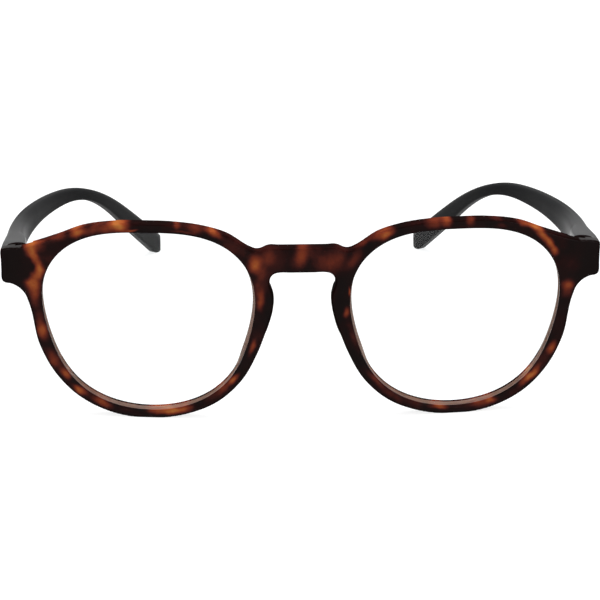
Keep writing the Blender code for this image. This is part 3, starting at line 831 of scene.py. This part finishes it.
bar = points_of(temple_right)
station = np.rint(bar[:, 1]).astype(int)
turns = np.arctan2(bar[:, 2], bar[:, 0])
softest = np.where(np.cos(turns) < 0, INNER_TOP_SQUARENESS, OUTER_TOP_SQUARENESS)
softest = np.where(np.sin(turns) > 0, softest, SECTION_SQUARENESS)
squareness = BLOCK_SQUARENESS - ease(*SOFTER_SHARES, station / SHAFT_STATIONS) * (BLOCK_SQUARENESS - softest)


def squared(wave):
    """Turn a round wave into flat sides and soft corners, softest at the inner top one."""
    return np.clip(np.sign(wave) * np.abs(wave) ** (2 / squareness), -SECTION_FLAT_SHARE, SECTION_FLAT_SHARE)


def bent_bar(ear_drop):
    """Every point of the bar on the path, for one steepness of the ear bend."""
    middle, sideways, upward = temple_path(ear_drop)
    wide = squared(np.cos(turns))[:, None]
    tall = squared(np.sin(turns))[:, None]
    return middle[station] + wide * sideways[station] + tall * upward[station]


shallow, steep = TEMPLE_SLOPE, EAR_DROP_LIMIT
for _ in range(EAR_DROP_TRIES):
    trial = (shallow + steep) / 2
    if bent_bar(trial)[:, 2].min() > -REST_FLAT:
        shallow = trial
    else:
        steep = trial
temple_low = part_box("temple_right")[0]
keep_low = (temple_low.x, SEAM_Y - OVERRUN, temple_low.z)
move_points(temple_right, np.clip(bent_bar(shallow), keep_low, cad_box[1]))
close_up(temple_right)
print("the ear bend drops at", round(math.degrees(shallow), 1), "degrees")

# %% Cut the temple's hinge end
low = END_BOTTOM - OVERRUN
high = END_TOP + OVERRUN
ahead = (HALF_WIDTH - TEMPLE_THICKNESS - OVERRUN, SEAM_Y - FRONT_DEPTH - OVERRUN, low)
end_tool = block("temple_end_tool", ahead, (HALF_WIDTH + OVERRUN, SEAM_Y + FIT_GAP, high))
combine(temple_right, [end_tool], "DIFFERENCE")
barrel = rod("temple_barrel_tool", KNUCKLE_RADIUS, END_BOTTOM + HINGE_GAP, END_TOP - HINGE_GAP)
combine(temple_right, [barrel], "UNION")
tongue_low = slot_low + HINGE_GAP
tongue_high = slot_high - HINGE_GAP
tongue = turned("tongue_tool", [
    (0, high), (tongue_room, high), (tongue_room, tongue_high), (BORE_RADIUS, tongue_high),
    (BORE_RADIUS, tongue_low), (tongue_room, tongue_low), (tongue_room, low), (0, low)])
combine(temple_right, [tongue], "DIFFERENCE")
close_up(temple_right)
print("temple:", len(temple_right.data.polygons), "faces")

# %% Mark how glossy each spot has become
INNER_GLOSS = 0.8
INNER_GLOSS_FACING = (0.3, 0.8)
INNER_GLOSS_REACH = (5 * MM, 30 * MM)
BLOCK_GLOSS = 0.35
BLOCK_GLOSS_REACH = (15 * MM, 50 * MM)
TIP_GLOSS = 0.2
TIP_GLOSS_REACH = (85 * MM, 110 * MM)
behind_seam = points_of(temple_right)[:, 1] - SEAM_Y
facing = rows_of(temple_right.data.vertices, "normal")
rubbed = INNER_GLOSS * ease(*INNER_GLOSS_FACING, -facing[:, 0]) * (1 - ease(*INNER_GLOSS_REACH, behind_seam))
handled = BLOCK_GLOSS * (1 - ease(*BLOCK_GLOSS_REACH, behind_seam))
handled += TIP_GLOSS * ease(*TIP_GLOSS_REACH, behind_seam)
mark(temple_right, "gloss", np.maximum(rubbed, handled))
smooth_shading(temple_right)
temple_left = mirrored(temple_right, "temple_bar_left")
print("temple's gloss: up to", round(float(np.maximum(rubbed, handled).max()), 2))

# %% [markdown]
# ## Hinge screws
# A small cheese-head screw stands in each hinge. Its profile is spun round the axis, with
# a softened edge on the head, and a thin block cuts the driver slot.

# %% Turn and slot the screws
HEAD_SOFTENING = 0.12 * MM
SLOT_TURN = math.radians(20)

top = END_TOP - SCREW_SINK
under = top - SCREW_HEAD_HEIGHT
foot = END_BOTTOM + HINGE_GAP
point = SCREW_RADIUS / 2
screw_right = turned("slotted_screw_right", [
    (0, top), (SCREW_HEAD_RADIUS - HEAD_SOFTENING, top),
    (SCREW_HEAD_RADIUS - HEAD_SOFTENING / 3, top - HEAD_SOFTENING / 3),
    (SCREW_HEAD_RADIUS, top - HEAD_SOFTENING), (SCREW_HEAD_RADIUS, under), (SCREW_RADIUS, under),
    (SCREW_RADIUS, foot + point), (point, foot), (0, foot)])
reach = SCREW_HEAD_RADIUS + HINGE_GAP
slot = block("slot_tool", (-reach, -SCREW_SLOT / 2, -SCREW_SLOT), (reach, SCREW_SLOT / 2, SCREW_SLOT))
slot.data.transform(Matrix.Translation((HINGE_X, HINGE_Y, top)) @ Matrix.Rotation(SLOT_TURN, 4, "Z"))
combine(screw_right, [slot], "DIFFERENCE")
close_up(screw_right)
smooth_shading(screw_right)
screw_left = mirrored(screw_right, "slotted_screw_left")
print("screw:", len(screw_right.data.polygons), "faces")

# %% [markdown]
# ## Shared effects
# Two effects are used again and again, so each is a node group built once. A soft patch is
# an oval that fades out, the stain from which tortoise is made up. Fine grain is the even,
# tiny roughness of moulded plastic and brushed metal, with slow clouds in it.

# %% Node groups for a soft patch and for fine grain
PATCH_CORE_SHARE = 0.15
PATCH_EDGE_SHARE = 1.6


def new_group(name, vectors, numbers, results):
    """Shader node group with named inputs, whose results are numbers."""
    group = bpy.data.node_groups.new(name, "ShaderNodeTree")
    for labels, side, kind in ((vectors, "INPUT", "Vector"), (numbers, "INPUT", "Float"),
                               (results, "OUTPUT", "Float")):
        for label in labels:
            group.interface.new_socket(label, in_out=side, socket_type="NodeSocket" + kind)
    return group, group.nodes.new("NodeGroupInput").outputs, group.nodes.new("NodeGroupOutput").inputs


def calculate_vector(tree, operation, first, second):
    """One arithmetic step on two vectors, or on a vector and a scale."""
    other = "Scale" if operation == "SCALE" else 1
    return add_node(tree, "VectorMath", {0: first, other: second}, operation=operation).outputs[0]


def remap(tree, value, band, shares=(0, 1), kind="LINEAR"):
    """Carry a value from its place in a band over to a pair of shares."""
    sockets = {"Value": value, "From Min": band[0], "From Max": band[1],
               "To Min": shares[0], "To Max": shares[1]}
    return add_node(tree, "MapRange", sockets, interpolation_type=kind).outputs[0]


soft_patch, given, result = new_group(
    "soft_patch", ["Vector", "Centre", "Half Size"], ["Turn", "Strength", "Before"], ["Mask"])
from_centre = calculate_vector(soft_patch, "SUBTRACT", given["Vector"], given["Centre"])
turned_to = add_node(soft_patch, "VectorRotate", {"Vector": from_centre, "Angle": given["Turn"]},
                     rotation_type="Y_AXIS")
scaled = calculate_vector(soft_patch, "DIVIDE", turned_to.outputs[0], given["Half Size"])
distance = add_node(soft_patch, "VectorMath", {0: scaled}, operation="LENGTH").outputs["Value"]
fade = remap(soft_patch, distance, (PATCH_EDGE_SHARE, PATCH_CORE_SHARE), kind="SMOOTHSTEP")
stain = calculate(soft_patch, "MULTIPLY", fade, given["Strength"])
left_over = calculate(soft_patch, "SUBTRACT", 1, given["Before"])
soft_patch.links.new(calculate(soft_patch, "MULTIPLY_ADD", stain, left_over, given["Before"]), result["Mask"])

fine_grain, given, result = new_group("fine_grain", ["Vector"], ["Scale", "Cloudiness"], ["Grain", "Clouds"])
for label, scale, detail in (("Grain", "Scale", 2), ("Clouds", "Cloudiness", 3)):
    noise = add_node(fine_grain, "TexNoise",
                     {"Vector": given["Vector"], "Scale": given[scale], "Detail": detail})
    fine_grain.links.new(noise.outputs[0], result[label])
print("groups:", [group.name for group in bpy.data.node_groups])

# %% Start and end of a material
GLOSS_CLOUDS = (0.5, 0.75)


def grained_material(name, grain_scale, cloud_scale):
    """Material, its node tree, and its fine grain and slow clouds."""
    made, tree = new_material(name)
    place = add_node(tree, "TexCoord").outputs["Object"]
    sockets = {"Vector": place, "Scale": grain_scale, "Cloudiness": cloud_scale}
    texture = add_node(tree, "Group", sockets, node_tree=fine_grain).outputs
    return made, tree, texture["Grain"], texture["Clouds"]


def colour_ramp(tree, share, stops):
    """Colour by a share from 0 to 1, through stops of place and colour."""
    ramp = add_node(tree, "ValToRGB", {"Fac": share})
    while len(ramp.color_ramp.elements) < len(stops):
        ramp.color_ramp.elements.new(0.5)
    for stop, (position, colour) in zip(ramp.color_ramp.elements, stops):
        stop.position = position
        stop.color = (*colour, 1)
    return ramp.outputs["Color"]


def read_mark(tree, name):
    """A number stored on the mesh."""
    return add_node(tree, "Attribute", attribute_name=name).outputs["Fac"]


def uneven_gloss(tree, clouds, more=0):
    """The mesh's gloss, made uneven by the clouds, and more where it is given."""
    cloudy = calculate(tree, "MULTIPLY_ADD", clouds, *GLOSS_CLOUDS)
    return calculate(tree, "MULTIPLY_ADD", read_mark(tree, "gloss"), cloudy, more, clamp=True)


def cover(tree, sockets):
    """Principled shader with these sockets, sent to the surface."""
    shader = add_node(tree, "BsdfPrincipled", sockets)
    add_node(tree, "OutputMaterial", {"Surface": shader.outputs[0]})


def dress(pieces, finish):
    """Give each piece this one material."""
    for piece in pieces:
        piece.data.materials.clear()
        piece.data.materials.append(finish)
    print(finish.name, "on", [piece.name for piece in pieces])


print("material helpers ready")

# %% [markdown]
# ## Tortoise plastic
# Tortoise is dark brown plastic with amber and red stains that melt into it. Each stain is
# one soft patch, given in millimetres on the front. A slow noise bends the place
# that every patch is looked up at, so that no oval looks drawn. One colour ramp turns the
# strength of the stains into colour, from near black through red brown to amber.

# %% Where the stains lie
# Each stain: across and up in mm, half width and half height in mm, turn in degrees,
# strength in percent
STAINS = (
    (-62.8, 42.4, 1.9, 1.6, 0, 84), (-62.8, 40.6, 1.6, 1.5, 0, 66), (-61.7, 38.8, 1.1, 1.7, 25, 60),
    (-60.7, 36.6, 1.1, 1.6, 0, 84), (-61.6, 34.6, 1.2, 1.9, -36, 80), (-62.8, 32.6, 1.7, 1.3, 0, 82),
    (-62.5, 31, 1.6, 1.7, 0, 62), (-62.3, 28.6, 1.2, 1.6, 0, 30), (-60.3, 43.7, 2, 0.9, 22, 70),
    (-58.3, 44.3, 1.1, 0.8, 20, 50), (-60.6, 41.8, 1.2, 1.2, 0, 30), (-61.3, 24.6, 1.2, 2.4, 5, 28),
    (-60.7, 21, 1.4, 2.4, 10, 82), (-59, 14.5, 1.2, 2.4, 30, 34), (-55.9, 10.4, 1, 1.5, 40, 78),
    (-52.6, 6.6, 1.8, 0.9, -38, 84), (-47.3, 3.6, 2.3, 0.9, -25, 76), (-41.5, 1.9, 3, 0.9, -8, 22),
    (-35, 1.7, 2, 0.8, 0, 55), (-31.2, 1.9, 3.6, 0.9, 4, 100), (-27.5, 2.6, 1.8, 0.8, 15, 50),
    (-18.6, 7.6, 1.6, 0.9, 40, 42), (-16.2, 10.1, 1.9, 0.8, 52, 82), (-11.8, 18.1, 0.8, 2.2, -20, 62),
    (-9.7, 29.4, 0.9, 2.4, 0, 50), (-11.1, 38.5, 1.5, 2.2, 0, 80), (-8.9, 39.8, 2.2, 2.4, 0, 38),
    (-9.3, 36.2, 1.4, 1.5, 0, 30), (-0.3, 40.4, 1.5, 2.6, 0, 70), (-1.8, 38.6, 1.2, 1.6, 0, 28),
    (1.3, 41.3, 1.2, 1.6, 0, 28), (-4.5, 40, 2.5, 3, 0, 20), (3.5, 39.5, 2, 3, 0, 15),
    (7.6, 39.8, 2.2, 3, 0, 25), (12, 39.2, 1.2, 2.6, -30, 44), (-51.6, 45.5, 2, 1.1, 18, 92),
    (-52.5, 46.5, 1.6, 0.7, 20, 35), (-47.5, 46.4, 2.2, 1, 12, 40), (-42.3, 47.4, 2.4, 1.6, 5, 100),
    (-44.8, 46.6, 1.6, 1, 10, 45), (-39, 46.5, 1.6, 0.35, 3, 68), (-28.8, 47.9, 0.9, 1.1, 0, 45),
    (-27.5, 46.2, 2.6, 0.35, -6, 40), (-24.5, 46.9, 1.8, 1, -10, 25), (-20.8, 46, 1.7, 0.9, -28, 82),
    (-19.2, 45.2, 1.2, 0.7, -35, 40), (-56, 44.3, 1.8, 1, 22, 24), (14, 43.6, 2.2, 0.9, 38, 48),
    (16.8, 44.6, 1.4, 0.9, 28, 45), (19.3, 45.2, 2.2, 1.1, 20, 88), (30.5, 47.3, 2.2, 1.3, 4, 48),
    (33.3, 47.7, 1.2, 1.4, 0, 72), (38.9, 47.8, 1.1, 1.2, 0, 40), (45.3, 48, 1.6, 0.8, -8, 40),
    (46, 46.2, 1.2, 0.7, -8, 34), (51.8, 46.5, 2.4, 0.9, -20, 68), (54.6, 45.5, 1.8, 1, -25, 75),
    (55.8, 43.4, 1.9, 1, -52, 74), (57.6, 41.3, 1.9, 1, -50, 82), (58.9, 39.4, 1.4, 0.9, -58, 70),
    (62.6, 30.6, 1.5, 1.5, 0, 70), (62.3, 28.6, 1.4, 1.2, 0, 42), (63.2, 35, 2, 2, 0, 10),
    (58.9, 15.2, 0.9, 1.7, -28, 72), (54.2, 8.6, 2.6, 1, 47, 100), (52.2, 6.6, 1.2, 0.8, 42, 40),
    (44.6, 2.9, 1.6, 0.8, 12, 72), (42, 2.2, 1.8, 0.8, 8, 34), (32.2, 1.8, 2.2, 0.8, -4, 74),
    (20.6, 5.9, 3, 1, -42, 34), (16.8, 10, 3, 0.9, -48, 44), (12.6, 18.6, 1, 3, 18, 20),
    (11.4, 21.5, 0.8, 2.4, 15, 20), (10.75, 31.4, 0.35, 1.3, 0, 68), (10.2, 26.5, 0.8, 1.4, 0, 68),
    (-57, 43.8, 3.5, 1.2, 22, 25), (-48.5, 46.2, 4.5, 1.5, 12, 25), (-25, 47, 5, 1.3, -8, 28),
    (-16, 42.8, 3, 1.6, -35, 20), (-7, 38.5, 2.5, 3, 0, 25), (8.5, 38.5, 4, 3, 0, 20),
    (-10, 32, 1.6, 4, 0, 30), (-57.5, 13, 1.6, 5, 30, 30), (-49.5, 4.8, 5, 1.2, -30, 30),
    (-20, 7, 4, 1.3, 38, 32), (25, 4, 4, 1.2, -25, 20), (40, 2, 4, 1, 5, 25), (50, 4.5, 3, 1.2, 30, 20),
    (57, 12, 1.6, 3, -35, 25))
print(len(STAINS), "stains")

# %% Tortoise material
STAIN_DEPTH = 1
WARP_SIZE = 0.8 * MM
WARP_SCALE = 260
MOTTLE_SCALE = 170
MOTTLE_REACH = (68 * MM, 60 * MM)
GROUND_BAND = (0.4, 0.7)
GROUND_STRENGTH = 0.2
RIPPLE_BAND = (0.3, 0.7)
RIPPLE_SHARES = (0.78, 1.1)
TORTOISE_STOPS = (
    (0, (0.0046, 0.0019, 0.0017)), (0.15, (0.0115, 0.0022, 0.002)), (0.3, (0.034, 0.006, 0.0045)),
    (0.45, (0.085, 0.014, 0.0075)), (0.6, (0.15, 0.025, 0.01)), (0.78, (0.27, 0.06, 0.016)),
    (1, (0.43, 0.155, 0.034)))
TORTOISE_ROUGHNESS = (0.16, 0.3)
SIDE_STAIN_SHARE = 0.3
# Colour added on the lens walls, and the share of stains left there: painted light for light passing through
# the walls.
WALL_PAINTED_LIGHT = (0.125, 0.072, 0.053)
WALL_STAIN_SHARE = 0.35
WALL_GLOSS = 0.6

tortoise, tree, grain, clouds = grained_material("tortoise_plastic", grain_scale=5200, cloud_scale=160)
place = add_node(tree, "TexCoord").outputs["Object"]
drift = add_node(tree, "TexNoise", {"Vector": place, "Scale": WARP_SCALE, "Detail": 2})
centred = calculate_vector(tree, "SUBTRACT", drift.outputs["Color"], (0.5, 0.5, 0.5))
shift = calculate_vector(tree, "SCALE", centred, 2 * WARP_SIZE)
bent = calculate_vector(tree, "ADD", place, shift)
mottle = add_node(tree, "TexNoise", {"Vector": place, "Scale": MOTTLE_SCALE, "Detail": 4}).outputs[0]
apart = add_node(tree, "SeparateXYZ", {0: place}).outputs
across = calculate(tree, "ABSOLUTE", apart["X"])
inside = remap(tree, across, MOTTLE_REACH, kind="SMOOTHSTEP")
mask = calculate(tree, "MULTIPLY", remap(tree, mottle, GROUND_BAND, (0, GROUND_STRENGTH)), inside)
for x, z, half_x, half_z, angle, percent in STAINS:
    patch = add_node(tree, "Group", {
        "Vector": bent, "Centre": (x * MM, 0, z * MM), "Half Size": (half_x * MM, STAIN_DEPTH, half_z * MM),
        "Turn": math.radians(angle), "Strength": percent / 100, "Before": mask}, node_tree=soft_patch)
    mask = patch.outputs["Mask"]
mask = calculate(tree, "MULTIPLY", mask, remap(tree, mottle, RIPPLE_BAND, RIPPLE_SHARES))
stained_unshaded = read_mark(tree, "stained_unshaded")
# Painted shade on the lower outer edge, and the dark core on the back: only a share of the stains stays
# there.
stain_share = calculate(tree, "MULTIPLY_ADD", stained_unshaded, 1 - SIDE_STAIN_SHARE, SIDE_STAIN_SHARE)
mask = calculate(tree, "MULTIPLY", mask, stain_share)
print("tortoise so far:", len(tree.nodes), "nodes")

# %% Painted light in the lens walls, and the surface
face_back = calculate(tree, "MULTIPLY", calculate(tree, "MULTIPLY", across, across), 0.5 / WRAP_RADIUS)
depth = calculate(tree, "SUBTRACT", apart["Y"], calculate(tree, "ADD", face_back, FRONT_Y))
lens_wall = calculate(tree, "LESS_THAN", depth, calculate(tree, "MULTIPLY", read_mark(tree, "light_to"), MM))
lens_wall = calculate(tree, "MULTIPLY", lens_wall, calculate(tree, "GREATER_THAN", depth, WALL_START))
stain_left = calculate(tree, "MULTIPLY_ADD", lens_wall, WALL_STAIN_SHARE - 1, 1)
weak = calculate_vector(tree, "SCALE", colour_ramp(tree, mask, TORTOISE_STOPS), stain_left)
# Painted light: the lens walls get a lighter colour added, for light coming through them.
thin = add_node(tree, "Mix", {"Factor": lens_wall, 6: weak, 7: (*WALL_PAINTED_LIGHT, 1)},
                data_type="RGBA", blend_type="ADD")
gloss = uneven_gloss(tree, clouds, calculate(tree, "MULTIPLY", lens_wall, WALL_GLOSS))
rough = calculate(tree, "MULTIPLY_ADD", clouds, *TORTOISE_ROUGHNESS)
bump = add_node(tree, "Bump", {"Height": grain, "Strength": 0.12, "Distance": 0.05 * MM})
cover(tree, {"Base Color": thin.outputs[2], "Roughness": rough, "Normal": bump.outputs[0],
             "Specular IOR Level": 0, "Coat Weight": gloss, "Coat Roughness": 0.15})
dress([front], tortoise)

# %% [markdown]
# ## Soft-touch black, lens, steel and brass
# The temples have a rubber-like coat: matt black, with a faint bloom at low angles, and
# rubbed smoother where hands hold it, at the tips and at the hinge, most on its inner side.
# The lenses show little but a trace of gloss. The screws are steel with fine turning marks,
# and the inserts are brass. Each roughness is a pair: how much the pattern adds, and what
# is there without it.

# %% Soft-touch black
SOFT_BLACK_STOPS = ((0, (0.0028, 0.0028, 0.003)), (1, (0.0078, 0.008, 0.0088)))
SOFT_BLACK_ROUGHNESS = (0.14, 0.46)

soft_black, tree, grain, clouds = grained_material("soft_touch_black", grain_scale=6500, cloud_scale=120)
colour = colour_ramp(tree, clouds, SOFT_BLACK_STOPS)
rough = calculate(tree, "MULTIPLY_ADD", clouds, *SOFT_BLACK_ROUGHNESS)
bump = add_node(tree, "Bump", {"Height": grain, "Strength": 0.1, "Distance": 0.04 * MM})
cover(tree, {"Base Color": colour, "Roughness": rough, "Normal": bump.outputs[0],
             "Specular IOR Level": 0.03, "Sheen Weight": 0.005, "Sheen Roughness": 0.5,
             "Coat Weight": uneven_gloss(tree, clouds), "Coat Roughness": 0.3})
dress([temple_right, temple_left], soft_black)

# %% Clear lens
LENS_STOPS = ((0, (0.95, 0.97, 0.975)), (1, (0.985, 0.99, 0.99)))
LENS_ROUGHNESS = (0.015, 0.005)
LENS_SHADOW_CUT = 0.85

clear, tree, grain, clouds = grained_material("clear_lens", grain_scale=900, cloud_scale=40)
colour = colour_ramp(tree, clouds, LENS_STOPS)
rough = calculate(tree, "MULTIPLY_ADD", grain, *LENS_ROUGHNESS)
shadow = add_node(tree, "LightPath").outputs["Is Shadow Ray"]
solid = calculate(tree, "MULTIPLY_ADD", shadow, -LENS_SHADOW_CUT, 1)
cover(tree, {"Base Color": colour, "Roughness": rough, "Transmission Weight": 1, "IOR": 1.06,
             "Alpha": solid, "Coat Weight": 0.15, "Coat Roughness": 0.02})
dress([lens_right, lens_left], clear)

# %% Steel and brass
def turned_metal(name, dark, light, roughness):
    """Metal with fine turning marks and slight stains."""
    made, tree, grain, clouds = grained_material(name, grain_scale=9000, cloud_scale=1200)
    colour = colour_ramp(tree, clouds, ((0, dark), (1, light)))
    rough = calculate(tree, "MULTIPLY_ADD", grain, *roughness)
    bump = add_node(tree, "Bump", {"Height": grain, "Strength": 0.15, "Distance": 0.03 * MM})
    cover(tree, {"Base Color": colour, "Roughness": rough, "Metallic": 1, "Normal": bump.outputs[0]})
    return made


steel = turned_metal("screw_steel", (0.22, 0.22, 0.23), (0.5, 0.5, 0.52), roughness=(0.2, 0.22))
brass = turned_metal("brass", (0.42, 0.27, 0.1), (0.75, 0.55, 0.25), roughness=(0.2, 0.25))
dress([screw_right, screw_left], steel)
for name in ("thread_insert_right", "thread_insert_left"):
    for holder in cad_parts[name].material_slots:
        holder.material = brass

# %% [markdown]
# ## Hand the pieces over
# Every new piece says which body it moves with, which of the imported pieces it stands for,
# and which finish of the record it shows.

# %% Bodies, finishes and what each piece stands for
PIECES = (
    (front, "front", "tortoise_plastic", "front"),
    (lens_right, "front", "clear_lens", "lens_right"),
    (lens_left, "front", "clear_lens", "lens_left"),
    (temple_right, "temple_right", "temple_plastic", "temple_right"),
    (temple_left, "temple_left", "temple_plastic", "temple_left"),
    (screw_right, "front", "screw_steel", "hinge_screw_right"),
    (screw_left, "front", "screw_steel", "hinge_screw_left"))
for piece, body, finish, stands_for in PIECES:
    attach(piece, body)
    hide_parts(stands_for)
